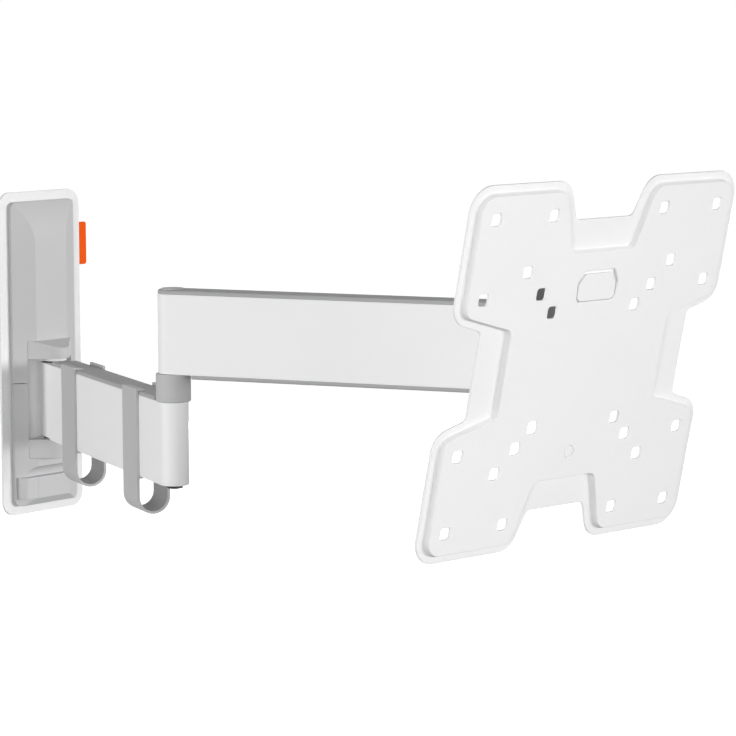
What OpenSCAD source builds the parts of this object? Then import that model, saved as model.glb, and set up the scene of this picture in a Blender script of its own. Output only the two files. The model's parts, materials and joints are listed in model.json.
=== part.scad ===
// Swivel wall mount for a flat television: wall plate, two arms and a tilting screen plate.
// The origin is the centre of the wall plate's back face. X runs along the wall, -Y points
// into the room and Z is up. All sizes are in millimetres.

/* [Wall plate] */
// Width of the wall plate
plate_w = 80.5; // [75:0.5:90]
// Height of the wall plate
plate_h = 239; // [232:1:270]
// Thickness of the wall plate's sheet
plate_t = 2; // [1.5:0.1:2.2]
// Corner radius of the wall plate
plate_r = 11; // [6:1:16]
// Distance between the wall bolts across the plate
wall_bolt_x = 36; // [28:1:40]
// Distance between the wall bolts up the plate
wall_bolt_z = 190; // [180:1:196]
// Diameter of the wall bolt holes
wall_bolt_d = 7; // [5:0.5:9]

/* [Cover] */
// Width of the two-part cover
cover_w = 63; // [60:1:70]
// Height of the two-part cover
cover_h = 225; // [220:1:229]
// Corner radius of the cover
cover_r = 5; // [3:0.5:8]
// Wall of the cover
cover_wall = 1.8; // [1.4:0.1:2.2]
// Distance of the cover's outer edge from the wall
cover_edge = 5; // [4.5:0.1:7]
// Width of the flat ridge
ridge_w = 31; // [28:1:36]
// Distance of the ridge from the wall
ridge_h = 13.8; // [13.5:0.1:18]
// Height at which the upper and lower cover meet
split_z = -21; // [-40:1:-12]
// Half width of the recess in which the arm swings
recess_half = 21.8; // [21.4:0.1:24]
// Height of the upper knuckle
knuckle_upper_h = 7.6; // [7:0.1:12]
// Height of the lower knuckle
knuckle_lower_h = 14; // [11:0.1:16]
// Radius of the knuckles
knuckle_r = 11; // [11:0.1:14]
// Top of the foot block
foot_top = -91; // [-93:0.5:-88]
// Height of the foot block
foot_h = 16; // [12:0.5:17]

/* [Hinge bracket] */
// Distance of the wall hinge's axis from the wall
hinge_depth = 16; // [15.8:0.1:17]
// Thickness of the bracket's sheet
bracket_t = 3; // [2:0.1:3.3]
// Width of the bracket's back plate
bracket_w = 40; // [34:1:42]
// Radius of the bracket's ears
ear_r = 8.8; // [8.2:0.1:8.9]

/* [Pins] */
// Diameter of the pivot pins
pin_d = 10; // [8:0.5:11]
// Outer diameter of the bushes
bush_d = 14; // [13:0.5:15]
// Length of each bush
bush_len = 16; // [10:1:22]
// Radial clearance of a pin that turns in a bush
run_gap = 0.05; // [0.02:0.01:0.09]

/* [Arms] */
// Length of each arm between its pivots
arm_len = 250; // [220:5:300]
// Height of each arm with its caps
arm_h = 59; // [54:1:64]
// Thickness of each arm
arm_t = 20; // [19:0.5:20.5]
// Wall of the arms
arm_wall = 2.2; // [1.6:0.1:3]
// Number of cells between the ribs of an arm
arm_cells = 6; // [5:1:8]
// Bottom of the first arm
arm_1_z = -62.7; // [-66:0.1:-60]
// Gap in height between the two arms
arm_gap = 13.6; // [10:0.1:20]
// Height of the caps on top of the arms
top_cap_h = 2.8; // [2:0.1:3.5]
// Height of the first arm's bottom cap
bottom_cap_1_h = 1.3; // [1:0.1:2]
// Height of the second arm's bottom cap
bottom_cap_2_h = 2.7; // [2:0.1:3.5]
// Diameter of the elbow collar
collar_d = 23.5; // [22:0.5:26]

/* [Cable clips] */
// Length of a clip along the arm
clip_w = 28.2; // [24:0.1:40]
// Thickness of a clip
clip_t = 1.8; // [1.4:0.1:2.4]
// Drop of the clip's loop below the arm
clip_drop = 26.2; // [20:0.1:32]
// Distance of the first clip from the wall pivot
clip_1_s = 64.5; // [56:0.1:100]
// Distance of the second clip from the elbow
clip_2_back = 54.7; // [40:0.1:90]

/* [Head] */
// Distance from the head pivot forward to the tilt axis
tilt_forward = 22; // [20:0.5:26]
// Distance from the tilt axis forward to the screen plate's face
tilt_reach = 28.7; // [27:0.1:34]
// Drop of the tilt axis below the second arm's middle
tilt_drop = 0.8; // [0:0.1:3]
// Thickness of the yoke's sheet
yoke_t = 3; // [2.5:0.1:4]
// Width of the yoke
yoke_w = 40; // [34:1:44]
// Reach of the yoke above the second arm's middle
yoke_up = 41; // [38:0.5:46]
// Reach of the yoke below the second arm's middle
yoke_down = 45; // [38:0.5:48]
// Thickness of the tilt bracket's sheet
tilt_t = 2.5; // [2:0.1:3]
// Diameter of the tilt bolt
tilt_bolt_d = 8; // [6:0.5:8]

/* [Screen plate] */
// Width of the screen plate
screen_w = 240; // [236:1:260]
// Height of the screen plate
screen_h = 241; // [236:1:260]
// Thickness of the screen plate's sheet
screen_t = 1.8; // [1.4:0.1:2.2]
// Height of the pressed field in front of the rim
field_step = 3.6; // [2:0.1:4]
// Width of the rim along the outer edges
rim_w = 6.5; // [5:0.5:7]
// Half width of the plate's waist
waist_half = 94; // [90:1:97]
// Half height of the plate at its top and bottom notches
notch_half = 95; // [90:1:98]
// Side of the square screen holes
screen_hole = 8; // [6:0.5:9]
// Spacing of the outermost screen holes
hole_grid = 200; // [190:5:200]

/* [Rest pose] */
// Swing of the first arm from the wall's normal at rest
swing_rest = -24.9; // [-60:0.1:60]
// Turn of the second arm against the first at rest
elbow_rest = 43.4; // [-120:0.1:120]
// Turn of the screen against the second arm at rest
swivel_rest = -24.4; // [-80:0.1:80]
// Forward tilt of the screen at rest
tilt_rest = 12.8; // [0:0.1:20]

/* [Hidden] */
$fn = 64;

// Clearances and small overlaps
seat_gap = 0.1;
fixed_gap = 0.02;
eps = 0.01;

// Cover
ramp_start = 82;
ramp_drop = ridge_h - cover_edge;
ramp_r = (pow(cover_h / 2 - ramp_start, 2) + pow(ramp_drop, 2)) / (2 * ramp_drop);
flank_slope = (ridge_h - cover_edge) / (cover_w / 2 - ridge_w / 2);
split_gap = 0.4;
knuckle_slope = 0.88;
roof_rise = 5.6;
shadow_w = 1;
shadow_h = 0.9;
scoop_r = 8;
foot_lip = 3;
foot_side = 2.2;
foot_back = 0.4;
foot_r = 5;
slit_w = 1;

// Bracket
bracket_up = 20;
bracket_down = 84;
bracket_r = 4;
bracket_screw_x = 30;
screw_d = 5;
screw_head_d = 9;
screw_head_h = 2.2;

// Heights of the arms, of their profiles and of what turns on them
arm_1_top = arm_1_z + arm_h;
arm_2_z = arm_1_top + arm_gap;
arm_2_top = arm_2_z + arm_h;
arm_2_mid = arm_2_z + arm_h / 2;
profile_1_z = arm_1_z + bottom_cap_1_h;
profile_1_top = arm_1_top - top_cap_h;
profile_2_z = arm_2_z + bottom_cap_2_h;
profile_2_top = arm_2_top - top_cap_h;
arm_r = arm_t / 2;
flange_t = 1;
flange_low_t = bottom_cap_1_h + seat_gap;
flange_r = arm_r - 1.2;
upper_ear_z = profile_1_top + flange_t + seat_gap;
lower_ear_z = profile_1_z - flange_low_t - seat_gap - bracket_t;
knuckle_upper_z = arm_1_top + 0.4;
knuckle_lower_top = arm_1_z - 0.4;
pin_r = pin_d / 2;
pin_head_r = 7.5;
pin_head_h = 2.5;
ring_t = 1.2;
pin_tail = ring_t + 1.5;
ring_r = 7;
groove_r = pin_r - 1;

// Caps
cap_1_start = 22.8;
cap_1_low_start = 16;
cap_2_low_start = 17.8;
cap_2_stop = 16;
cap_bevel = 0.8;
cap_side_gap = 0.2;
plug_d = 3.5;
collar_r = collar_d / 2;
collar_seam = 0.5;
barrel_len = 13;
rib_t = 2;
disc_r = 7.8;
disc_rise = 0.7;
stud_r = 3;
washer_t = 1;
washer_r = 6;
elbow_nut_af = 10;
elbow_nut_h = 2.6;

// Clip
clip_inner = arm_r + seat_gap;
clip_outer = clip_inner + clip_t;
clip_hook = 6.9;
clip_hook_t = 1.5;
clip_lip = 5.4;
clip_lip_t = 1.2;
clip_rear_rise = 1.8;

// Head
swivel_bush_flange = 1;
yoke_web_w = 12.5;
yoke_ear_r = 10;
yoke_upper_z = profile_2_top + swivel_bush_flange + seat_gap;
yoke_lower_z = profile_2_z - swivel_bush_flange - seat_gap - yoke_t;
tilt_z = arm_2_mid - tilt_drop;
tilt_ear_r = 9;
tilt_ear_up = 14;
tilt_bolt_r = tilt_bolt_d / 2;
head_nut_af = 14;
head_nut_h = 5;
head_washer_t = 1.5;
tilt_washer_t = 1;
tilt_washer_r = 8;
tilt_nut_af = 13;
tilt_nut_h = 6;
tilt_head_h = 4;
tilt_plate_w = 54;
tilt_plate_up = 68;
tilt_plate_down = 68;
tilt_plate_r = 6;
lock_v = -57;
lock_head_r = 4;
lock_shank_r = 2.5;
lock_len = 6;

// Screen plate outline, as corners of one quarter with their radii
wing_inner_top = 35.5;
wing_inner_foot = 25.5;
wing_side_low = 36;
waist_high = 28.2;
valley_w = 20;
waist_w = 22.5;
window_v = 52.4;
window_w = 34;
window_h = 20;
tongue_gap = 0.5;

// Points on the joints' axes
swing_dir = swing_rest - 90;
elbow_dir = swing_dir + elbow_rest;
elbow_at = [arm_len * cos(swing_dir), -hinge_depth + arm_len * sin(swing_dir), 0];
head_at = elbow_at + [arm_len * cos(elbow_dir), arm_len * sin(elbow_dir), 0];
screen_yaw = swing_rest + elbow_rest + swivel_rest;

// Colours
white = "#ececec";
light_grey = "#b8b8b8";
mid_grey = "#a6a6a6";
dark_steel = "#3a3a3c";
zinc = "#9a9ca0";
black = "#181818";
orange = "#f96a2a";

// Frames of the moving pieces
module from_wall(depth = 0) { translate([0, -depth, 0]) rotate([90, 0, 0]) children(); }
module along_x(len) { rotate([90, 0, 90]) linear_extrude(len, center = true) children(); }
module at_arm_1() { translate([0, -hinge_depth, 0]) rotate([0, 0, swing_dir]) children(); }
module at_arm_2() { translate(elbow_at) rotate([0, 0, elbow_dir]) children(); }
module at_head() { translate(head_at) rotate([0, 0, screen_yaw]) children(); }
module at_tilt() {
    at_head() translate([0, -tilt_forward, tilt_z]) rotate([tilt_rest, 0, 0]) children();
}

// Flat shapes
module rounded_rect(w, h, r) {
    square([w - 2 * r, h], center = true);
    square([w, h - 2 * r], center = true);
    for (x = [-1, 1], y = [-1, 1]) translate([x * (w / 2 - r), y * (h / 2 - r)]) circle(r);
}
module stadium(len, r) {
    translate([0, -r]) square([len, 2 * r]);
    circle(r);
    translate([len, 0]) circle(r);
}
module ring(z, h, r_out, r_in) {
    translate([0, 0, z]) difference() {
        cylinder(h = h, r = r_out);
        translate([0, 0, -1]) cylinder(h = h + 2, r = r_in);
    }
}
module hex(z, h, af) { translate([0, 0, z]) cylinder(h = h, r = af / 2 / cos(30), $fn = 6); }

// Rounds the corners of a polygon: each corner is [x, y, radius]
function unit(v) = v / norm(v);
function corner_arc(a, p, b, r, n = 6) =
    let (u = unit(a - p), v = unit(b - p), half = acos(u * v) / 2,
        c = p + unit(u + v) * r / sin(half), s = p + u * r / tan(half),
        start = atan2(s[1] - c[1], s[0] - c[0]), turn = 180 - 2 * half,
        side = cross(p - a, b - p) > 0 ? 1 : -1)
    [for (i = [0:n]) c + r * [cos(start + side * turn * i / n), sin(start + side * turn * i / n)]];
function rounded(corners) =
    let (n = len(corners), q = [for (c = corners) [c[0], c[1]]])
    [for (i = [0:n - 1], p = corner_arc(q[(i + n - 1) % n], q[i], q[(i + 1) % n], corners[i][2])) p];
// Moves every side of a closed outline inwards by t and fits the radii
function side_in(a, b) = let (d = unit(b - a)) [d[1], -d[0]];
function inset(corners, t) =
    let (n = len(corners), q = [for (c = corners) [c[0], c[1]]])
    [for (i = [0:n - 1])
        let (a = q[(i + n - 1) % n], p = q[i], b = q[(i + 1) % n],
            u = side_in(a, p), v = side_in(p, b), m = p + (u + v) * t / (1 + u * v),
            r = corners[i][2] + (cross(p - a, b - p) > 0 ? t : -t))
        [m[0], m[1], r]];
// Mirrors the corners of the upper right quarter round to the whole outline
function whole(quarter) =
    let (n = len(quarter),
        right = concat(quarter, [for (i = [n - 1:-1:0]) [quarter[i][0], -quarter[i][1], quarter[i][2]]]),
        m = len(right))
    concat(right, [for (i = [m - 1:-1:0]) [-right[i][0], right[i][1], right[i][2]]]);

// Wall plate and cover
module wall_plate() {
    color(white) difference() {
        from_wall() linear_extrude(plate_t) rounded_rect(plate_w, plate_h, plate_r);
        for (x = [-1, 1], z = [-1, 1])
            translate([x * wall_bolt_x / 2, 0, z * wall_bolt_z / 2]) from_wall(-1)
                cylinder(h = plate_t + 2, d = wall_bolt_d);
        tag_pocket();
        bracket_screw_places() from_wall(-1) cylinder(h = plate_t + 2, r = screw_d / 2 + fixed_gap);
    }
}

tag_z = 62;
tag_h = 32;
tag_out = 8.6;
tag_root = 6;
tag_t = 0.7;
tag_r = 2;
module tag() {
    color(orange) from_wall() translate([plate_w / 2 - tag_root, tag_z]) linear_extrude(tag_t) {
        square([tag_root + tag_out - tag_r, tag_h]);
        translate([0, tag_r]) square([tag_root + tag_out, tag_h - 2 * tag_r]);
        for (z = [tag_r, tag_h - tag_r]) translate([tag_root + tag_out - tag_r, z]) circle(tag_r);
    }
}
module tag_pocket() {
    from_wall(-1) translate([plate_w / 2 - tag_root - seat_gap, tag_z - seat_gap])
        cube([tag_root + 5, tag_h + 2 * seat_gap, tag_t + seat_gap + 1]);
}

// The cover's solid form, with every face but the open back moved inwards by t
function back_at(t) = t > 0 ? 0 : -plate_t;
module cover_form(t) {
    side = cover_w / 2 + 1;
    low = max(plate_t + 0.1, cover_edge - flank_slope - 1.25 * t);
    intersection() {
        translate([0, 0, -cover_h]) linear_extrude(2 * cover_h) polygon([
            [-side, back_at(t)], [-side, -low], [-ridge_w / 2 + t / 3, -ridge_h + t],
            [ridge_w / 2 - t / 3, -ridge_h + t], [side, -low], [side, back_at(t)]]);
        along_x(cover_w + 4) cover_side(t);
        from_wall(-1) linear_extrude(ridge_h + 3)
            rounded_rect(cover_w - 2 * t, cover_h - 2 * t, cover_r - t);
    }
}
// Side view of the cover: a rounded fall to the top edge and a short slope below the foot block
module cover_side(t) {
    foot_z = foot_top - foot_h;
    polygon([[-ridge_h + t, ramp_start], [-ridge_h + t, foot_z], [-cover_edge - foot_lip + t, -cover_h / 2],
        [-cover_edge - foot_lip + t, -cover_h / 2 - 2], [1, -cover_h / 2 - 2], [1, ramp_start]]);
    intersection() {
        translate([-ridge_h + ramp_r, ramp_start]) circle(ramp_r - t, $fn = 256);
        translate([-ridge_h - 1, ramp_start]) square([ridge_h + 2, cover_h / 2 - ramp_start + 2]);
    }
}
// The foot block, seen from above: square to the wall on its left, with a rounded front edge
module foot_form(t) {
    half = cover_w / 2 - foot_side - t;
    front = ridge_h - foot_back - t;
    translate([0, 0, foot_top - foot_h + t]) linear_extrude(foot_h - 2 * t) {
        translate([-half, -front + foot_r]) square([half, front - foot_r + back_at(t)]);
        translate([-half + foot_r, -front]) square([half - foot_r, foot_r + 1]);
        translate([-half + foot_r, -front + foot_r]) circle(foot_r);
    }
}
// Plan of a knuckle: a round nose with flanks that run into the cover
module knuckle_plan(t) {
    flank_x = knuckle_r * 0.632;
    nose_d = hinge_depth + knuckle_r * 0.736;
    foot_d = nose_d - (recess_half - flank_x) * knuckle_slope;
    translate([0, -hinge_depth]) circle(knuckle_r - t);
    polygon([
        [-recess_half + t, back_at(t)], [-recess_half + t, -foot_d + t / 2],
        [-flank_x + 0.6 * t, -nose_d + 0.8 * t], [flank_x - 0.6 * t, -nose_d + 0.8 * t],
        [recess_half - t, -foot_d + t / 2], [recess_half - t, back_at(t)]]);
}
// The upper knuckle's roof falls from the ridge to the nose
module upper_knuckle(t) {
    roof_back = knuckle_upper_z + knuckle_upper_h + roof_rise;
    intersection() {
        translate([0, 0, knuckle_upper_z]) linear_extrude(roof_back - knuckle_upper_z + 1) knuckle_plan(t);
        along_x(cover_w) polygon([
            [-hinge_depth - knuckle_r - 1, knuckle_upper_z],
            [-hinge_depth - knuckle_r - 1, knuckle_upper_z + knuckle_upper_h - t],
            [-ridge_h, roof_back - t], [0, roof_back - t], [0, knuckle_upper_z]]);
    }
}
module lower_knuckle(t) {
    translate([0, 0, knuckle_lower_top - knuckle_lower_h + t])
        linear_extrude(knuckle_lower_h - t) knuckle_plan(t);
}
// The room that the arm needs between the knuckles
module recess(t) {
    translate([-recess_half - t, -2 * ridge_h, knuckle_lower_top - t])
        cube([2 * (recess_half + t), 2 * ridge_h, knuckle_upper_z - knuckle_lower_top + 2 * t]);
}
// The room that the bracket needs inside the cover
module bracket_room() {
    g = seat_gap * 2;
    translate([-bracket_w / 2 - g, -plate_t - bracket_t - g, -bracket_down - g])
        cube([bracket_w + 2 * g, bracket_t + g + 1, bracket_up + bracket_down + 2 * g]);
    low = lower_ear_z - pin_tail - g;
    high = upper_ear_z + bracket_t + pin_head_h + g;
    translate([0, 0, low]) linear_extrude(high - low) ear_plan(g);
}
module cover_shell() {
    difference() {
        union() {
            cover_form(0);
            upper_knuckle(0);
            lower_knuckle(0);
            foot_form(0);
        }
        difference() {
            union() {
                cover_form(cover_wall);
                upper_knuckle(cover_wall);
                lower_knuckle(cover_wall);
                foot_form(cover_wall);
            }
            recess(cover_wall);
            foot_scoop(cover_wall);
        }
        recess(0);
        bracket_room();
        foot_scoop(0);
        foot_slit();
        shadow_groove();
    }
}
// The hollow above the foot block and the slit beside it
module foot_scoop(t) {
    r = scoop_r + t;
    translate([0, -ridge_h - scoop_r / 3, foot_top - t]) intersection() {
        translate([0, 0, t]) rotate([0, 90, 0]) cylinder(h = cover_w + 2, r = r, center = true);
        translate([-cover_w, -2 * r, 0]) cube([2 * cover_w, 4 * r, 2 * r]);
    }
}
module foot_slit() {
    translate([-cover_w / 2 + foot_side - slit_w, -ridge_h, foot_top - foot_h])
        cube([slit_w, ridge_h - cover_edge, foot_h]);
}
// The outermost edge of the cover's foot stands just off the wall plate
module shadow_groove() {
    from_wall(plate_t - 1) linear_extrude(1 + shadow_h) difference() {
        rounded_rect(cover_w + 4, cover_h + 4, cover_r + 2);
        rounded_rect(cover_w - 2 * shadow_w, cover_h - 2 * shadow_w, cover_r - shadow_w);
    }
}
module upper_cover() {
    color(light_grey) intersection() {
        cover_shell();
        translate([-cover_w, -50, split_z + split_gap / 2]) cube([2 * cover_w, 60, cover_h]);
    }
}
module lower_cover() {
    color(light_grey) intersection() {
        cover_shell();
        translate([-cover_w, -50, split_z - split_gap / 2 - cover_h]) cube([2 * cover_w, 60, cover_h]);
    }
}

// Hinge bracket with two bored ears
module ear_plan(g = 0) {
    translate([0, -hinge_depth]) circle(ear_r + g);
    translate([-ear_r - g, -hinge_depth]) square([2 * (ear_r + g), hinge_depth - plate_t]);
}
module bracket_screw_places() {
    for (x = [-1, 1], z = [bracket_up - 8, -bracket_down + 6])
        translate([x * bracket_screw_x / 2, 0, z]) children();
}
module hinge_bracket() {
    color(white) difference() {
        union() {
            translate([0, 0, (bracket_up - bracket_down) / 2]) from_wall(plate_t)
                linear_extrude(bracket_t) rounded_rect(bracket_w, bracket_up + bracket_down, bracket_r);
            for (z = [upper_ear_z, lower_ear_z]) translate([0, 0, z])
                linear_extrude(bracket_t) ear_plan();
        }
        translate([0, -hinge_depth, lower_ear_z - 1])
            cylinder(h = upper_ear_z - lower_ear_z + bracket_t + 2, r = pin_r + fixed_gap);
        bracket_screw_places() from_wall() cylinder(h = 20, r = screw_d / 2 + fixed_gap);
    }
}
module bracket_screws() {
    color(zinc) bracket_screw_places() {
        from_wall(0.3) cylinder(h = plate_t + bracket_t - 0.3 + eps, r = screw_d / 2);
        from_wall(plate_t + bracket_t) cylinder(h = screw_head_h, d1 = screw_head_d, d2 = screw_head_d - 2);
    }
}
module wall_pin() {
    top = upper_ear_z + bracket_t;
    tail = lower_ear_z - pin_tail;
    color(zinc) translate([0, -hinge_depth, 0]) difference() {
        union() {
            translate([0, 0, tail]) cylinder(h = top - tail, r = pin_r);
            translate([0, 0, top]) cylinder(h = pin_head_h, r = pin_head_r);
        }
        ring(lower_ear_z - ring_t - seat_gap, ring_t + seat_gap, pin_r + 2, groove_r);
    }
}
module pin_ring() {
    color(zinc) translate([0, -hinge_depth, 0]) difference() {
        ring(lower_ear_z - ring_t - seat_gap / 2, ring_t - seat_gap / 2, ring_r, groove_r + seat_gap);
        translate([-groove_r * 0.8, -ring_r - 1, lower_ear_z - ring_t - 1])
            cube([groove_r * 1.6, ring_r + 1, ring_t + 2]);
    }
}

// An arm: a hollow round-ended casting with ribs and a bored barrel at each end
module arm_body(z, h, bore_start, bore_end) {
    room = arm_len - 2 * barrel_len;
    cell = (room - (arm_cells - 1) * rib_t) / arm_cells;
    translate([0, 0, z]) difference() {
        linear_extrude(h) stadium(arm_len, arm_r);
        for (i = [0:arm_cells - 1])
            translate([barrel_len + i * (cell + rib_t), -arm_r + arm_wall, -1])
                cube([cell, arm_t - 2 * arm_wall, h + 2]);
        translate([0, 0, -1]) cylinder(h = h + 2, r = bore_start);
        translate([arm_len, 0, -1]) cylinder(h = h + 2, r = bore_end);
    }
}
// Plugs that hold a cap in the arm's cells
module cap_plugs(z, h) {
    // The first and the last cell stay free, because the caps stop short of the pivots
    room = arm_len - 2 * barrel_len;
    cell = (room - (arm_cells - 1) * rib_t) / arm_cells;
    wide = arm_t - 2 * arm_wall - 2 * seat_gap;
    for (i = [1:arm_cells - 2]) translate([barrel_len + i * (cell + rib_t) + cell / 2, 0, z])
        difference() {
            translate([-cell / 3, -wide / 2, 0]) cube([cell * 2 / 3, wide, h]);
            translate([-cell / 3 + 2, -wide / 2 + 1.5, -1]) cube([cell * 2 / 3 - 4, wide - 3, h + 2]);
        }
}
// Half section of a cap that is h high, from its middle line outwards
function cap_half(h, r, bevel) = [[0, 0], [r, 0], [r, h - bevel], [r - bevel, h], [0, h]];
module cap_bar(from, to, h, r, bevel) {
    half = cap_half(h, r, bevel);
    translate([(from + to) / 2, 0, 0]) along_x(to - from)
        polygon(concat(half, [for (i = [4:-1:1]) [-half[i][0], half[i][1]]]));
}
module cap_end_round(at, h, r, bevel) {
    translate([at, 0, 0]) rotate_extrude() polygon(cap_half(h, r, bevel));
}
module arm_1() {
    color(white) at_arm_1()
        arm_body(profile_1_z, profile_1_top - profile_1_z, bush_d / 2 + fixed_gap, pin_r + fixed_gap);
}
module arm_1_top_cap() {
    color(light_grey) at_arm_1() {
        translate([0, 0, profile_1_top]) difference() {
            cap_bar(cap_1_start, arm_len - collar_r + 1, top_cap_h, arm_r - cap_side_gap, cap_bevel);
            translate([arm_len, 0, -1]) cylinder(h = top_cap_h + 2, r = collar_r + collar_seam);
        }
        cap_plugs(profile_1_top - plug_d, plug_d + eps);
    }
}
module arm_1_bottom_cap() {
    color(white) at_arm_1() {
        translate([0, 0, arm_1_z]) difference() {
            linear_extrude(bottom_cap_1_h) stadium(arm_len, arm_r - cap_side_gap);
            translate([-arm_t, -arm_t, -1]) cube([arm_t + cap_1_low_start, 2 * arm_t, bottom_cap_1_h + 2]);
            translate([arm_len, 0, -1]) cylinder(h = bottom_cap_1_h + 2, r = washer_r + seat_gap);
        }
        cap_plugs(profile_1_z - eps, plug_d);
    }
}
// A bush with an optional flange at its lower end
module bush(z, len, flange_h, up) {
    ring(z, len, bush_d / 2, pin_r + run_gap);
    ring(up ? z + len : z - flange_h, flange_h, flange_r, pin_r + run_gap);
}
module wall_bush_upper() {
    color(black) at_arm_1() bush(profile_1_top - bush_len, bush_len, flange_t, true);
}
module wall_bush_lower() {
    color(black) at_arm_1() bush(profile_1_z, bush_len, flange_low_t, false);
}

// Cable clip: hooks over the arm and makes a loop below it
module clip_section() {
    loop_z = arm_1_z - clip_drop + clip_outer;
    for (y = [-clip_outer, clip_inner]) translate([y, loop_z])
        square([clip_t, arm_1_top - loop_z + (y > 0 ? clip_rear_rise : clip_hook_t + seat_gap)]);
    translate([0, loop_z]) difference() {
        circle(clip_outer);
        circle(clip_inner);
        translate([-clip_outer - 1, 0]) square([2 * clip_outer + 2, clip_outer + 1]);
    }
    polygon([
        [-clip_outer, arm_1_top + seat_gap], [-clip_outer + clip_hook, arm_1_top + seat_gap],
        [-clip_outer + clip_hook, arm_1_top + clip_hook_t / 2],
        [-clip_outer + 1, arm_1_top + clip_hook_t + seat_gap],
        [-clip_outer, arm_1_top + clip_hook_t + seat_gap]]);
    translate([-clip_outer, arm_1_z - clip_lip_t - seat_gap]) square([clip_lip, clip_lip_t]);
}
module cable_clip(s) { color(mid_grey) at_arm_1() translate([s, 0, 0]) along_x(clip_w) clip_section(); }
module cable_clip_1() { cable_clip(clip_1_s); }
module cable_clip_2() { cable_clip(arm_len - clip_2_back); }

// Elbow
module elbow_collar() {
    low = profile_1_top;
    high = profile_2_z - seat_gap;
    color(light_grey) translate(elbow_at) difference() {
        translate([0, 0, low]) rotate_extrude() polygon([
            [0, 0], [collar_r - 0.8, 0], [collar_r, 0.8], [collar_r, high - low], [0, high - low]]);
        translate([0, 0, low - 1]) cylinder(h = high - low + 2, r = pin_r + fixed_gap);
    }
}
module elbow_pin() {
    stud_z = profile_1_z - washer_t - elbow_nut_h - 0.6;
    color(zinc) translate(elbow_at) {
        translate([0, 0, profile_1_z]) cylinder(h = profile_2_top - profile_1_z + seat_gap, r = pin_r);
        translate([0, 0, profile_2_top + seat_gap]) cylinder(h = 1.6, r = disc_r - 0.4);
        translate([0, 0, stud_z]) cylinder(h = profile_1_z - stud_z + eps, r = stud_r);
    }
}
module elbow_washer() {
    color(zinc) translate(elbow_at) ring(profile_1_z - washer_t, washer_t, washer_r, stud_r + fixed_gap);
}
module elbow_nut() {
    nut_z = profile_1_z - washer_t - elbow_nut_h;
    color(black) translate(elbow_at) difference() {
        hex(nut_z, elbow_nut_h, elbow_nut_af);
        translate([0, 0, nut_z - 1]) cylinder(h = elbow_nut_h + 2, r = stud_r + fixed_gap);
    }
}
module elbow_bush_upper() {
    color(black) translate(elbow_at)
        ring(profile_2_top - bush_len, bush_len, bush_d / 2, pin_r + run_gap);
}
module elbow_bush_lower() {
    color(black) translate(elbow_at) ring(profile_2_z, bush_len, bush_d / 2, pin_r + run_gap);
}
module elbow_disc() {
    low = profile_2_top + 1.6 + 2 * seat_gap;
    color("#c9c9c9") translate(elbow_at) translate([0, 0, low])
        rotate_extrude() polygon([
            [0, 0], [disc_r, 0], [disc_r, arm_2_top + disc_rise - 0.4 - low],
            [disc_r - 0.4, arm_2_top + disc_rise - low], [0, arm_2_top + disc_rise - low]]);
}

// Second arm
module arm_2() {
    color(white) at_arm_2() arm_body(profile_2_z, profile_2_top - profile_2_z,
        bush_d / 2 + fixed_gap, bush_d / 2 + fixed_gap);
}
module arm_2_top_cap() {
    color(light_grey) at_arm_2() {
        translate([0, 0, profile_2_top]) difference() {
            union() {
                cap_bar(0, arm_len - cap_2_stop, top_cap_h, arm_r - cap_side_gap, cap_bevel);
                cap_end_round(0, top_cap_h, arm_r - cap_side_gap, cap_bevel);
            }
            translate([0, 0, -1]) cylinder(h = top_cap_h + 2, r = disc_r + seat_gap);
        }
        cap_plugs(profile_2_top - plug_d, plug_d + eps);
    }
}
module arm_2_bottom_cap() {
    color(light_grey) at_arm_2() {
        translate([0, 0, profile_2_z]) mirror([0, 0, 1])
            cap_bar(cap_2_low_start, arm_len - cap_2_stop, bottom_cap_2_h, arm_r - cap_side_gap, cap_bevel);
        cap_plugs(profile_2_z - eps, plug_d);
    }
}
module head_bush_upper() {
    color(black) translate(head_at) bush(profile_2_top - bush_len, bush_len, swivel_bush_flange, true);
}
module head_bush_lower() {
    color(black) translate(head_at) bush(profile_2_z, bush_len, swivel_bush_flange, false);
}

// Head: a yoke that swivels on the arm and carries the tilt axis
module head_yoke() {
    color(dark_steel) at_head() difference() {
        union() {
            translate([-yoke_w / 2, -yoke_web_w - yoke_t, arm_2_mid - yoke_down])
                cube([yoke_w, yoke_t, yoke_up + yoke_down]);
            for (z = [yoke_upper_z, yoke_lower_z]) translate([0, 0, z]) linear_extrude(yoke_t) {
                circle(yoke_ear_r);
                translate([-yoke_ear_r, -yoke_web_w - eps]) square([2 * yoke_ear_r, yoke_web_w]);
            }
            for (x = [-1, 1]) translate([x * (yoke_w - yoke_t) / 2, 0, 0]) along_x(yoke_t) {
                translate([-tilt_forward, tilt_z]) circle(tilt_ear_r);
                translate([-tilt_forward, tilt_z - tilt_ear_r])
                    square([tilt_forward - yoke_web_w, 2 * tilt_ear_r]);
            }
        }
        translate([0, 0, yoke_lower_z - 1])
            cylinder(h = yoke_upper_z - yoke_lower_z + yoke_t + 2, r = pin_r + fixed_gap);
        translate([0, -tilt_forward, tilt_z]) rotate([0, 90, 0])
            cylinder(h = yoke_w + 2, r = tilt_bolt_r + fixed_gap, center = true);
    }
}
module head_pin() {
    stud_z = yoke_lower_z - head_washer_t - head_nut_h - 1;
    color(dark_steel) translate(head_at) {
        translate([0, 0, yoke_lower_z]) cylinder(h = yoke_upper_z - yoke_lower_z + yoke_t + eps, r = pin_r);
        translate([0, 0, yoke_upper_z + yoke_t]) cylinder(h = pin_head_h, r = pin_head_r);
        translate([0, 0, stud_z]) cylinder(h = yoke_lower_z - stud_z + eps, r = pin_r - 1);
    }
}
module head_washer() {
    color(zinc) translate(head_at)
        ring(yoke_lower_z - head_washer_t, head_washer_t, pin_head_r, pin_r - 1 + fixed_gap);
}
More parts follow.
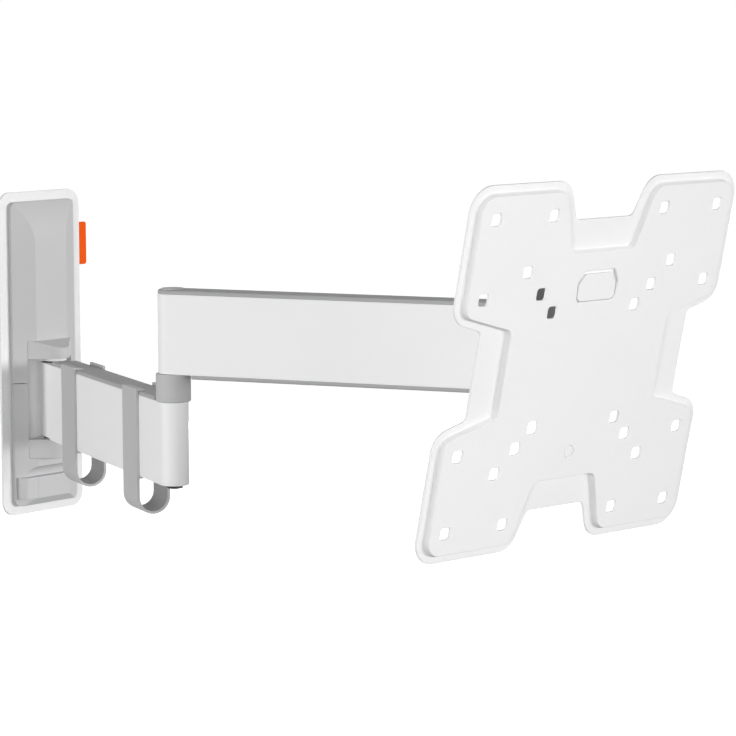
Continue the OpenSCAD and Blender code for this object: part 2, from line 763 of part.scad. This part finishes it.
module head_nut() {
    nut_z = yoke_lower_z - head_washer_t - head_nut_h;
    color(dark_steel) translate(head_at) difference() {
        hex(nut_z, head_nut_h, head_nut_af);
        translate([0, 0, nut_z - 1]) cylinder(h = head_nut_h + 2, r = pin_r - 1 + fixed_gap);
    }
}

// Tilt bolt, drawn along +X from the left side
tilt_outer = yoke_w / 2 + seat_gap + tilt_t;
module on_tilt_axis(x) { at_tilt() translate([x, 0, 0]) rotate([0, 90, 0]) children(); }
module tilt_bolt() {
    grip = tilt_outer + tilt_washer_t;
    color(dark_steel) {
        on_tilt_axis(-grip - tilt_head_h / 2)
            cylinder(h = 2 * grip + tilt_head_h / 2 + tilt_nut_h + 1, r = tilt_bolt_r);
        on_tilt_axis(-grip - tilt_head_h) cylinder(h = tilt_head_h, r = tilt_nut_af / 2 / cos(30), $fn = 6);
    }
}
module tilt_washers() {
    color(zinc) for (x = [-tilt_outer - tilt_washer_t, tilt_outer]) on_tilt_axis(x)
        ring(0, tilt_washer_t, tilt_washer_r, tilt_bolt_r + fixed_gap);
}
module tilt_nut() {
    color(zinc) on_tilt_axis(tilt_outer + tilt_washer_t) difference() {
        hex(0, tilt_nut_h, tilt_nut_af);
        translate([0, 0, -1]) cylinder(h = tilt_nut_h + 2, r = tilt_bolt_r + fixed_gap);
    }
}

// Tilt bracket: a channel whose back plate carries the screen plate
back_y = -tilt_reach + screen_t + seat_gap;
module tilt_bracket() {
    color(white) at_tilt() difference() {
        union() {
            translate([0, back_y + tilt_t, (tilt_plate_up - tilt_plate_down) / 2]) rotate([90, 0, 0])
                linear_extrude(tilt_t)
                    rounded_rect(tilt_plate_w, tilt_plate_up + tilt_plate_down, tilt_plate_r);
            for (x = [-1, 1]) translate([x * (tilt_outer - tilt_t / 2), 0, 0]) along_x(tilt_t) {
                circle(tilt_ear_r);
                translate([back_y + tilt_t / 2, -tilt_ear_up])
                    square([-back_y - tilt_t / 2 - tilt_ear_r + 1, 2 * tilt_ear_up]);
                translate([back_y + tilt_t / 2, -tilt_ear_r])
                    square([-back_y - tilt_t / 2, 2 * tilt_ear_r]);
            }
            translate([0, back_y + eps, window_v]) rotate([90, 0, 0])
                linear_extrude(screen_t - 0.2) tongue_shape();
        }
        rotate([0, 90, 0]) cylinder(h = 2 * tilt_outer + 2, r = tilt_bolt_r + run_gap, center = true);
        translate([0, back_y + tilt_t + 1, lock_v]) rotate([90, 0, 0])
            cylinder(h = tilt_t + 2, r = lock_shank_r + fixed_gap);
    }
}
module tongue_shape() {
    w = window_w / 2 - tongue_gap;
    h = window_h / 2 - tongue_gap;
    polygon(rounded([[-w, -h, 3.6], [w, -h, 3.6], [w, 1.5, 1], [w - 5, h - 1.6, 1],
        [-w + 5, h - 1.6, 1], [-w, 1.5, 1]]));
}
module window_shape() {
    w = window_w / 2;
    h = window_h / 2;
    polygon(rounded([[-w, -h, 2], [w, -h, 4], [w + 1.5, 2, 1.5], [w - 3, h, 1.5], [-w + 2.5, h, 1.5], [-w - 1.5, 2, 1.5]]));
}

// Screen plate: a pressed sheet with a raised field and a rim all round.
// Each list holds the corners of the upper right quarter with their radii.
rim_corners = whole([
    [wing_inner_foot, notch_half, 5], [wing_inner_top, screen_h / 2, 15],
    [screen_w / 2, screen_h / 2, 17], [screen_w / 2, wing_side_low, 14],
    [waist_half, waist_high, 4]]);
field_u = screen_w / 2 - rim_w;
field_v = screen_h / 2 - rim_w + 1;
field_corners = whole([
    [wing_inner_foot + 1.9, notch_half - valley_w, 5], [wing_inner_top + 4.8, field_v, 10.6],
    [field_u, field_v, 11.5], [field_u, wing_side_low + 3.3, 9],
    [waist_half - waist_w, waist_high - 0.4, 4]]);
module rim_outline() { polygon(rounded(rim_corners)); }
module field_outline(t = 0) { polygon(rounded(inset(field_corners, t))); }
hole_places = [
    for (x = [-1, 1], z = [-1, 1], p = [[0.5, 0.5], [0.25, 0.5], [0.5, 0.25], [0.325, 0.325],
        [0.25, 0.25], [0.1875, 0.1875]]) [x * p[0] * hole_grid, z * p[1] * hole_grid]
];
module tv_plate() {
    color(white) at_tilt() translate([0, -tilt_reach, 0]) rotate([-90, 0, 0]) mirror([0, 1, 0])
    difference() {
        union() {
            translate([0, 0, field_step]) linear_extrude(screen_t) rim_outline();
            linear_extrude(field_step + screen_t) field_outline();
        }
        translate([0, 0, screen_t]) linear_extrude(field_step + screen_t) field_outline(screen_t);
        for (p = hole_places) translate([p[0], p[1], -1]) linear_extrude(field_step + screen_t + 2)
            rounded_rect(screen_hole, screen_hole, 2);
        translate([0, window_v, -1]) linear_extrude(field_step + screen_t + 2) window_shape();
        translate([0, lock_v, -1]) cylinder(h = field_step + screen_t + 2, r = lock_head_r + seat_gap);
    }
}
module lock_screw() {
    color(white) at_tilt() translate([0, -tilt_reach + 0.1, lock_v]) rotate([-90, 0, 0]) {
        cylinder(h = screen_t - 0.1, r = lock_head_r);
        cylinder(h = screen_t + lock_len, r = lock_shank_r);
    }
}

wall_plate();
hinge_bracket();
bracket_screws();
upper_cover();
lower_cover();
tag();
wall_pin();
pin_ring();
arm_1();
arm_1_top_cap();
arm_1_bottom_cap();
wall_bush_upper();
wall_bush_lower();
cable_clip_1();
cable_clip_2();
elbow_collar();
elbow_pin();
elbow_washer();
elbow_nut();
elbow_bush_upper();
elbow_bush_lower();
elbow_disc();
arm_2();
arm_2_top_cap();
arm_2_bottom_cap();
head_bush_upper();
head_bush_lower();
head_yoke();
head_pin();
head_washer();
head_nut();
tilt_bolt();
tilt_washers();
tilt_nut();
tilt_bracket();
tv_plate();
lock_screw();
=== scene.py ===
import json
import math

import bmesh
import bpy
from mathutils import Matrix, Vector


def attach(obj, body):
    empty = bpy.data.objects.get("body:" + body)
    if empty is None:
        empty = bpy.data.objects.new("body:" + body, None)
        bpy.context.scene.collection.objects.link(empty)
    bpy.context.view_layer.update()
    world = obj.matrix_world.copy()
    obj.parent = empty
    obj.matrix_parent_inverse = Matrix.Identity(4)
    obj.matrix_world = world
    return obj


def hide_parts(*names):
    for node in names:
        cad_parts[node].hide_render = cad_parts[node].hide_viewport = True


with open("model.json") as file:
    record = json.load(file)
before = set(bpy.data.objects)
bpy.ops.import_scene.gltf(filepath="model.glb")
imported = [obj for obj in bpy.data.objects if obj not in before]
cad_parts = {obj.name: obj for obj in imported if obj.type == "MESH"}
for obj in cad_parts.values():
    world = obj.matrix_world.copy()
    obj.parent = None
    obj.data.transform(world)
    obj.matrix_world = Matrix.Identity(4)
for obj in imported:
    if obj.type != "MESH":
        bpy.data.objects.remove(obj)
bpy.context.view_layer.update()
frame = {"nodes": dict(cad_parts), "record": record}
scene = bpy.context.scene
scene.view_settings.view_transform = "Standard"

BODIES = {
    "wall": ["wall_plate", "hinge_bracket", "bracket_screws", "upper_cover", "lower_cover",
             "tag", "wall_pin", "pin_ring"],
    "arm_1": ["arm_1", "arm_1_top_cap", "arm_1_bottom_cap", "wall_bush_upper",
              "wall_bush_lower", "cable_clip_1", "cable_clip_2", "elbow_collar", "elbow_pin",
              "elbow_washer", "elbow_nut", "elbow_disc"],
    "arm_2": ["arm_2", "arm_2_top_cap", "arm_2_bottom_cap", "elbow_bush_upper",
              "elbow_bush_lower", "head_bush_upper", "head_bush_lower"],
    "head": ["head_yoke", "head_pin", "head_washer", "head_nut", "tilt_bolt",
             "tilt_washers", "tilt_nut"],
    "screen": ["tilt_bracket", "tv_plate", "lock_screw"],
}
BODY_OF = {node: body for body, nodes in BODIES.items() for node in nodes}
SLOT_OF = {s["node"]: s["material_slot"] for s in frame["record"]["subparts"]}


# ---------------------------------------------------------------- materials
def linear(v):
    v = v / 255.0
    return v / 12.92 if v <= 0.04045 else ((v + 0.055) / 1.055) ** 2.4


def rgb(text):
    return tuple(linear(int(text[i:i + 2], 16)) for i in (1, 3, 5)) + (1.0,)


def noise(tree, coords, scale, detail=3.0, stretch=None):
    """The value of a noise texture; `stretch` draws it out along an axis."""
    source = coords
    if stretch:
        mapping = tree.nodes.new("ShaderNodeMapping")
        mapping.inputs["Scale"].default_value = stretch
        tree.links.new(coords, mapping.inputs["Vector"])
        source = mapping.outputs["Vector"]
    n = tree.nodes.new("ShaderNodeTexNoise")
    n.inputs["Scale"].default_value = scale
    n.inputs["Detail"].default_value = detail
    tree.links.new(source, n.inputs["Vector"])
    return n.outputs["Fac"]


NOISE_LOW, NOISE_HIGH = 0.2, 0.8  # nearly all values of a noise lie between these


def remap(tree, value, low, high):
    """Spreads a noise value from low to high."""
    m = tree.nodes.new("ShaderNodeMapRange")
    m.inputs["From Min"].default_value = NOISE_LOW
    m.inputs["From Max"].default_value = NOISE_HIGH
    m.inputs["To Min"].default_value = low
    m.inputs["To Max"].default_value = high
    tree.links.new(value, m.inputs["Value"])
    return m.outputs["Result"]


PATCHES = 18.0  # scale of the slow drift in colour and gloss
FINE_SHARE = 0.6  # share of the fine grain in the colour; the drift has the rest
GLOSS_DRIFT = 0.04


def material(name, dark, light, rough, grain, depth, metallic=0.0, stretch=None, spec=0.5):
    """A coat or plastic between two colours. `grain` is the scale of its fine bumps and
    `depth` their height in metres."""
    m = bpy.data.materials.new(name)
    m.use_nodes = True
    tree = m.node_tree
    shader = tree.nodes["Principled BSDF"]
    shader.inputs["Metallic"].default_value = metallic
    shader.inputs["Specular IOR Level"].default_value = spec
    coords = tree.nodes.new("ShaderNodeTexCoord").outputs["Object"]
    drift = noise(tree, coords, PATCHES, 2.0)
    fine = noise(tree, coords, grain, stretch=stretch)
    mix = tree.nodes.new("ShaderNodeMix")
    mix.data_type = "RGBA"
    mix.inputs["A"].default_value = rgb(dark)
    mix.inputs["B"].default_value = rgb(light)
    blend = tree.nodes.new("ShaderNodeMath")
    blend.operation = "MULTIPLY_ADD"
    blend.inputs[1].default_value = FINE_SHARE
    tree.links.new(remap(tree, fine, 0.0, 1.0), blend.inputs[0])
    tree.links.new(remap(tree, drift, 0.0, 1.0 - FINE_SHARE), blend.inputs[2])
    tree.links.new(blend.outputs[0], mix.inputs["Factor"])
    tree.links.new(mix.outputs["Result"], shader.inputs["Base Color"])
    gloss = remap(tree, drift, rough - GLOSS_DRIFT, rough + GLOSS_DRIFT)
    tree.links.new(gloss, shader.inputs["Roughness"])
    bump = tree.nodes.new("ShaderNodeBump")
    bump.inputs["Strength"].default_value = 0.35
    bump.inputs["Distance"].default_value = depth
    tree.links.new(fine, bump.inputs["Height"])
    tree.links.new(bump.outputs["Normal"], shader.inputs["Normal"])
    return m


def woven(name, dark, light, thread):
    """Ribbon cloth. `thread` is the width of one thread in metres."""
    m = material(name, dark, light, 0.85, 2500.0, 0.00002)
    tree = m.node_tree
    shader = tree.nodes["Principled BSDF"]
    shader.inputs["Sheen Weight"].default_value = 0.05
    shader.inputs["Specular IOR Level"].default_value = 0.1
    coords = tree.nodes.new("ShaderNodeTexCoord").outputs["Object"]
    waves = []
    for axis in ("X", "Z"):
        w = tree.nodes.new("ShaderNodeTexWave")
        w.bands_direction = axis
        w.inputs["Scale"].default_value = 1.0 / (math.pi * thread)
        w.inputs["Distortion"].default_value = 0.15
        tree.links.new(coords, w.inputs["Vector"])
        waves.append(w.outputs["Fac"])
    both = tree.nodes.new("ShaderNodeMath")
    both.operation = "MULTIPLY"
    tree.links.new(waves[0], both.inputs[0])
    tree.links.new(waves[1], both.inputs[1])
    bump = tree.nodes.new("ShaderNodeBump")
    bump.inputs["Strength"].default_value = 0.5
    bump.inputs["Distance"].default_value = 0.00015
    tree.links.new(both.outputs[0], bump.inputs["Height"])
    tree.links.new(bump.outputs["Normal"], shader.inputs["Normal"])
    return m


MATERIALS = {
    "white_steel": material("white_coat", "#ebebeb", "#f1f1f1", 0.45, 900.0, 0.00003, spec=0.2),
    "arm_white": material("arm_white", "#f1f1f2", "#f6f6f7", 0.42, 1400.0, 0.00001, spec=0.25),
    "bracket": material("bracket_white", "#ededed", "#f3f3f3", 0.45, 900.0, 0.00003, spec=0.2),
    "cover": material("cover_grey", "#c6c6c7", "#cececf", 0.48, 2600.0, 0.00003, spec=0.15),
    "cap_grey": material("cap_grey", "#aaaaab", "#b3b3b4", 0.48, 2400.0, 0.00002, spec=0.1),
    "clip": material("clip_grey", "#bababb", "#c3c3c4", 0.48, 2600.0, 0.00003, spec=0.15),
    "collar": material("collar_grey", "#bcbcbd", "#c5c5c6", 0.48, 2600.0, 0.00002, spec=0.15),
    "disc": material("disc_grey", "#c2c2c3", "#cbcbcc", 0.42, 2600.0, 0.00002, spec=0.2),
    "tag": woven("tag_ribbon", "#f85408", "#f86614", 0.0006),
    "zinc": material("zinc_plated", "#a9abad", "#c2c4c6", 0.34, 700.0, 0.00001, metallic=1.0,
                     stretch=(1.0, 1.0, 12.0)),
    "dark_steel": material("dark_coat", "#808082", "#8a8a8c", 0.45, 1100.0, 0.00003),
    "black_nut": material("black_oxide", "#161616", "#222222", 0.4, 1500.0, 0.00002),
    "bush": material("bush_polymer", "#1c1c1c", "#282828", 0.5, 2600.0, 0.00002),
}


def paint(obj, node):
    """Gives a piece the material of the node it is or stands for."""
    obj.data.materials.clear()
    obj.data.materials.append(MATERIALS[SLOT_OF[node]])
    for p in obj.data.polygons:
        p.material_index = 0


# ---------------------------------------------------------------- pieces
def apply(obj, modifier):
    with bpy.context.temp_override(object=obj, active_object=obj, selected_objects=[obj],
                                   selected_editable_objects=[obj]):
        bpy.ops.object.modifier_apply(modifier=modifier.name)


MERGE = 0.00001  # metres; corners closer than this are one corner
FLAT = 0.6  # degrees; faces that turn less than this are one face
FILL_FLAT = 0.2  # the same, for the filled faces of the screen plate
CREASE = 10.5  # degrees; the steps of a round stay below it, and every real edge is above it


def flat_normals(obj):
    """Large faces set the shading at their edges, so they stay flat beside a soft edge."""
    flat = obj.modifiers.new("flat", "WEIGHTED_NORMAL")
    flat.mode = "FACE_AREA"
    flat.weight = 100
    return flat


def softened(node, width, segments):
    """A copy of a CAD node whose sharp edges are rounded off. It stands for that node."""
    source = frame["nodes"][node]
    mesh = source.data.copy()
    mesh.name = node + "_edges"
    obj = bpy.data.objects.new(node + "_edges", mesh)
    scene.collection.objects.link(obj)
    bm = bmesh.new()
    bm.from_mesh(mesh)
    bmesh.ops.remove_doubles(bm, verts=bm.verts, dist=MERGE)
    bmesh.ops.dissolve_limit(bm, angle_limit=math.radians(FLAT), verts=bm.verts, edges=bm.edges)
    for f in bm.faces:
        f.smooth = True
    bm.to_mesh(mesh)
    bm.free()
    bevel = obj.modifiers.new("edges", "BEVEL")
    bevel.width = width
    bevel.segments = segments
    bevel.limit_method = "ANGLE"
    bevel.angle_limit = math.radians(CREASE)
    bevel.miter_outer = "MITER_ARC"
    flat = flat_normals(obj)
    apply(obj, bevel)
    apply(obj, flat)
    paint(obj, node)
    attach(obj, BODY_OF[node])
    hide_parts(node)


for node, obj in frame["nodes"].items():
    paint(obj, node)

# The width of each piece's rounded edges in metres, and their steps
SOFT_EDGES = {
    "wall_plate": (0.0008, 3), "hinge_bracket": (0.0006, 2), "upper_cover": (0.0003, 2),
    "lower_cover": (0.0003, 2), "tag": (0.0002, 1), "wall_pin": (0.0006, 2),
    "pin_ring": (0.0002, 1), "bracket_screws": (0.0004, 2), "arm_1": (0.0004, 2),
    "arm_1_top_cap": (0.0003, 2), "arm_1_bottom_cap": (0.0003, 2), "cable_clip_1": (0.0005, 2),
    "cable_clip_2": (0.0005, 2), "elbow_collar": (0.0004, 2), "elbow_pin": (0.0003, 2),
    "elbow_washer": (0.0002, 1), "elbow_nut": (0.0004, 2), "elbow_disc": (0.0002, 2),
    "arm_2": (0.0004, 2), "arm_2_top_cap": (0.0003, 2), "arm_2_bottom_cap": (0.0003, 2),
    "head_yoke": (0.0006, 2), "head_pin": (0.0006, 2), "head_washer": (0.0002, 1),
    "head_nut": (0.0005, 2), "tilt_bolt": (0.0005, 2), "tilt_washers": (0.0002, 1),
    "tilt_nut": (0.0005, 2), "tilt_bracket": (0.0005, 2), "lock_screw": (0.0003, 1),
}
for node, (width, segments) in SOFT_EDGES.items():
    softened(node, width, segments)


# ---------------------------------------------------------------- screen plate
# The pressed plate with a rolled step between its rim and its field. The sizes are part.scad's,
# in mm: x to the plate's right, y up, from the tilt axis.
MM = 0.001
SHEET, STEP, REACH = 1.8, 3.6, 28.7
EDGE, EDGE_ROWS, EDGE_ANGLE = 0.5, 3, 50.0
HALF_ROLL, ROLL_ROWS = 1.0, 8
REST = {"wall_swing": -24.9, "elbow_turn": 43.4, "head_swivel": -24.4, "screen_tilt": 12.8}
WALL_AXIS_OUT, ARM, TILT_AXIS_OUT, TILT_AXIS_UP = 16.0, 250.0, 22.0, 38.6
GRID_WIDTH, SQUARE, SQUARE_ROUND = 200.0, 8.0, 2.0
WINDOW_UP, LOCK_DOWN, LOCK_RADIUS = 52.4, 57.0, 4.1


def unit(v):
    return v / v.length


def whole(quarter):
    """The full outline from its upper right quarter, as (x, y, corner radius)."""
    half = quarter + [(x, -y, r) for x, y, r in reversed(quarter)]
    return half + [(-x, y, r) for x, y, r in reversed(half)]


def inset(corners, t):
    """The outline moved inward by t, with each corner's radius to match."""
    out = []
    count = len(corners)
    for i, (x, y, r) in enumerate(corners):
        a = Vector(corners[i - 1][:2])
        p = Vector((x, y))
        b = Vector(corners[(i + 1) % count][:2])
        d1, d2 = unit(p - a), unit(b - p)
        u, v = Vector((d1.y, -d1.x)), Vector((d2.y, -d2.x))
        m = p + (u + v) * t / (1 + u.dot(v))
        turn = (p - a).x * (b - p).y - (p - a).y * (b - p).x
        out.append((m.x, m.y, r + (t if turn > 0 else -t)))
    return out


def rounded(corners, steps=10):
    """The points of an outline with its corners rounded."""
    points = []
    count = len(corners)
    for i, (x, y, r) in enumerate(corners):
        a = Vector(corners[i - 1][:2])
        p = Vector((x, y))
        b = Vector(corners[(i + 1) % count][:2])
        u, v = unit(a - p), unit(b - p)
        half = math.acos(max(-1.0, min(1.0, u.dot(v)))) / 2
        c = p + unit(u + v) * r / math.sin(half)
        s = p + u * r / math.tan(half)
        start = math.atan2(s.y - c.y, s.x - c.x)
        turn = (p - a).x * (b - p).y - (p - a).y * (b - p).x
        swing = (math.pi - 2 * half) * (1 if turn > 0 else -1)
        for k in range(steps + 1):
            angle = start + swing * k / steps
            points.append(c + Vector((math.cos(angle), math.sin(angle))) * r)
    return points


def tilt_frame():
    """From the screen plate's own place to its place at the photo's pose."""
    place = Matrix.Translation(Vector((0.0, -WALL_AXIS_OUT * MM, 0.0)))
    for joint in ("wall_swing", "elbow_turn", "head_swivel"):
        place = place @ Matrix.Rotation(math.radians(REST[joint]), 4, "Z")
        if joint != "head_swivel":
            place = place @ Matrix.Translation(Vector((0.0, -ARM * MM, 0.0)))
    return (place @ Matrix.Translation(Vector((0.0, -TILT_AXIS_OUT * MM, TILT_AXIS_UP * MM)))
            @ Matrix.Rotation(math.radians(REST["screen_tilt"]), 4, "X"))


RIM = whole([(25.5, 95.0, 5.0), (35.5, 120.5, 15.0), (120.0, 120.5, 17.0),
             (120.0, 36.0, 14.0), (94.0, 28.2, 4.0)])
FIELD = whole([(27.4, 75.0, 5.0), (40.3, 115.0, 10.6), (113.5, 115.0, 11.5),
               (113.5, 39.3, 9.0), (71.5, 27.8, 4.0)])
# Quarter of the hole pattern, in widths of the 200 mm grid
GRID = [(0.5, 0.5), (0.25, 0.5), (0.5, 0.25), (0.325, 0.325), (0.25, 0.25), (0.1875, 0.1875)]


def square_hole(cx, cy, size, r):
    h = size / 2
    return [p + Vector((cx, cy))
            for p in rounded([(h, h, r), (h, -h, r), (-h, -h, r), (-h, h, r)], 4)]


def tv_plate():
    bm = bmesh.new()

    def loop(points, front):
        return [bm.verts.new((p.x, -front, p.y)) for p in points]

    def ring_edges(verts):
        return [bm.edges.new((verts[i - 1], verts[i])) for i in range(len(verts))]

    rim_front = REACH - STEP
    rim = ring_edges(loop(rounded(RIM), rim_front))
    loops = []
    for k in range(ROLL_ROWS + 1):
        f = k / ROLL_ROWS
        height = STEP * f * f * (3 - 2 * f)
        inward = HALF_ROLL * (2 * f - 1)
        loops.append(loop(rounded(inset(FIELD, inward)), rim_front + height))
    foot, top = ring_edges(loops[0]), ring_edges(loops[-1])
    for low, high in zip(loops[:-1], loops[1:]):
        for i in range(len(low)):
            bm.faces.new((low[i - 1], low[i], high[i], high[i - 1]))
    bmesh.ops.triangle_fill(bm, use_beauty=True, use_dissolve=False, edges=rim + foot)
    inner = list(top)
    for x in (-1, 1):
        for z in (-1, 1):
            for gx, gz in GRID:
                points = square_hole(x * gx * GRID_WIDTH, z * gz * GRID_WIDTH, SQUARE,
                                     SQUARE_ROUND)
                inner += ring_edges(loop(points, REACH))
    w, h = 17.0, 10.0
    window = [(-w, -h, 2.0), (w, -h, 4.0), (w + 1.5, 2.0, 1.5), (w - 3.0, h, 1.5),
              (-w + 2.5, h, 1.5), (-w - 1.5, 2.0, 1.5)]
    inner += ring_edges(loop([p + Vector((0.0, WINDOW_UP)) for p in rounded(window, 5)], REACH))
    circle = [Vector((LOCK_RADIUS * math.cos(a), -LOCK_DOWN + LOCK_RADIUS * math.sin(a)))
              for a in [2 * math.pi * k / 40 for k in range(40)]]
    inner += ring_edges(loop(circle, REACH))
    bmesh.ops.triangle_fill(bm, use_beauty=True, use_dissolve=False, edges=inner)
    # The filled faces are flat: whole faces in place of triangles, so none is a sliver
    bmesh.ops.dissolve_limit(bm, angle_limit=math.radians(FILL_FLAT), verts=bm.verts,
                             edges=bm.edges)
    bmesh.ops.scale(bm, vec=(MM, MM, MM), verts=bm.verts)
    bmesh.ops.recalc_face_normals(bm, faces=bm.faces)
    front = max(bm.faces, key=lambda f: f.calc_area())
    if front.normal.y > 0:
        bmesh.ops.reverse_faces(bm, faces=bm.faces)
    for f in bm.faces:
        f.smooth = True
    mesh = bpy.data.meshes.new("tv_plate_pressed")
    bm.to_mesh(mesh)
    bm.free()
    obj = bpy.data.objects.new("tv_plate_pressed", mesh)
    scene.collection.objects.link(obj)
    sheet = obj.modifiers.new("sheet", "SOLIDIFY")
    sheet.thickness = SHEET * MM
    sheet.offset = -1.0
    sheet.use_even_offset = True
    edge = obj.modifiers.new("edges", "BEVEL")
    edge.width = EDGE * MM
    edge.segments = EDGE_ROWS
    edge.limit_method = "ANGLE"
    edge.angle_limit = math.radians(EDGE_ANGLE)
    edge.use_clamp_overlap = False
    flat = flat_normals(obj)
    apply(obj, sheet)
    apply(obj, edge)
    apply(obj, flat)
    mesh.transform(tilt_frame())
    paint(obj, "tv_plate")
    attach(obj, "screen")
    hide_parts("tv_plate")


tv_plate()


# ---------------------------------------------------------------- stage
ROOM_LIGHT = 0.22
FLOOR_Z, FLOOR_HALF, FLOOR_GREY, FLOOR_GLOW = -0.32, 30.0, 0.35, 0.93
WHITE = (1.0, 1.0, 1.0, 1.0)


def seen_rays(tree):
    """1 for camera, glossy and transmission rays, 0 for the rays that carry light."""
    path = tree.nodes.new("ShaderNodeLightPath")
    total = path.outputs["Is Camera Ray"]
    for ray in ("Is Glossy Ray", "Is Transmission Ray"):
        plus = tree.nodes.new("ShaderNodeMath")
        plus.operation = "ADD"
        plus.use_clamp = True
        tree.links.new(total, plus.inputs[0])
        tree.links.new(path.outputs[ray], plus.inputs[1])
        total = plus.outputs[0]
    return total


def by_ray(tree, lit, seen, out):
    """Shows `seen` to the rays that make the picture, and `lit` to those that carry light."""
    choose = tree.nodes.new("ShaderNodeMixShader")
    tree.links.new(seen_rays(tree), choose.inputs[0])
    tree.links.new(lit.outputs[0], choose.inputs[1])
    tree.links.new(seen.outputs[0], choose.inputs[2])
    tree.links.new(choose.outputs[0], out.inputs["Surface"])


def white_room():
    world = bpy.data.worlds.new("studio")
    scene.world = world
    world.use_nodes = True
    tree = world.node_tree
    tree.nodes.clear()
    out = tree.nodes.new("ShaderNodeOutputWorld")
    lit, seen = [tree.nodes.new("ShaderNodeBackground") for _ in range(2)]
    for background, strength in ((lit, ROOM_LIGHT), (seen, 1.0)):
        background.inputs["Color"].default_value = WHITE
        background.inputs["Strength"].default_value = strength
    by_ray(tree, lit, seen, out)


def pale_floor():
    """A floor that keeps the object's shadow and is seen as white as the room."""
    bm = bmesh.new()
    bmesh.ops.create_grid(bm, x_segments=8, y_segments=8, size=FLOOR_HALF)
    mesh = bpy.data.meshes.new("floor")
    bm.to_mesh(mesh)
    bm.free()
    floor = bpy.data.objects.new("floor", mesh)
    floor.location = (0.0, 0.0, FLOOR_Z)
    scene.collection.objects.link(floor)
    m = bpy.data.materials.new("floor_paint")
    m.use_nodes = True
    tree = m.node_tree
    tree.nodes.clear()
    out = tree.nodes.new("ShaderNodeOutputMaterial")
    grey = tree.nodes.new("ShaderNodeBsdfDiffuse")
    grey.inputs["Color"].default_value = (FLOOR_GREY, FLOOR_GREY, FLOOR_GREY, 1.0)
    glow = tree.nodes.new("ShaderNodeEmission")
    glow.inputs["Color"].default_value = WHITE
    glow.inputs["Strength"].default_value = FLOOR_GLOW
    both = tree.nodes.new("ShaderNodeAddShader")
    tree.links.new(grey.outputs[0], both.inputs[0])
    tree.links.new(glow.outputs[0], both.inputs[1])
    by_ray(tree, grey, both, out)
    mesh.materials.append(m)


white_room()
pale_floor()


# ---------------------------------------------------------------- lamps
def shine(name, light, toward):
    """Puts a light in the scene, so that it shines from the direction `toward`."""
    obj = bpy.data.objects.new(name, light)
    obj.rotation_mode = "QUATERNION"
    obj.rotation_quaternion = Vector(toward).to_track_quat("Z", "Y")
    scene.collection.objects.link(obj)
    return obj


def lamp(name, toward, strength, angle):
    """A wide, soft lamp, far away. `angle` is its width in degrees."""
    light = bpy.data.lights.new(name, "SUN")
    light.energy = strength
    light.angle = math.radians(angle)
    shine(name, light, toward)


def soft_box(name, place, aim, size, power):
    """A square soft box that no camera sees."""
    light = bpy.data.lights.new(name, "AREA")
    light.size = size
    light.energy = power
    obj = shine(name, light, Vector(place) - Vector(aim))
    obj.location = place
    obj.visible_camera = False
    obj.visible_glossy = False


lamp("key", (-0.89, 0.45, -0.05), 3.15, 26.0)
lamp("front", (0.46, -0.885, -0.03), 4.0, 32.0)
soft_box("arm_box", (-2.18, -1.49, 0.13), (-0.066, -0.36, 0.04), 0.9, 22.0)
soft_box("screen_box", (-0.42, -2.9, 0.1), (-0.03, -0.53, 0.03), 0.8, 9.0)
soft_box("fill_box", (1.62, 1.11, -0.06), (-0.03, -0.3, 0.0), 0.5, 15.0)


# ---------------------------------------------------------------- camera
# Solved from the photo: the azimuth, elevation and roll, the place and the lens
AZ, EL, ROLL = math.radians(-48.968), math.radians(6.88), math.radians(-0.225)
CAMERA_PLACE = (-1.59702, -1.71335, 0.2676)
LENS, SENSOR = 154.274, 36.0


def photo_camera():
    back = Vector((math.sin(AZ) * math.cos(EL), -math.cos(AZ) * math.cos(EL), math.sin(EL)))
    right = Vector((math.cos(AZ), math.sin(AZ), 0.0))
    up = back.cross(right)
    turned_right = math.cos(ROLL) * right + math.sin(ROLL) * up
    turned_up = -math.sin(ROLL) * right + math.cos(ROLL) * up
    data = bpy.data.cameras.new("camera")
    data.sensor_width = SENSOR
    data.lens = LENS
    data.clip_start = 0.05
    data.clip_end = 100.0
    camera = bpy.data.objects.new("camera", data)
    scene.collection.objects.link(camera)
    basis = Matrix((turned_right, turned_up, back)).transposed().to_4x4()
    camera.matrix_world = Matrix.Translation(Vector(CAMERA_PLACE)) @ basis
    scene.camera = camera


photo_camera()

bpy.context.view_layer.update()
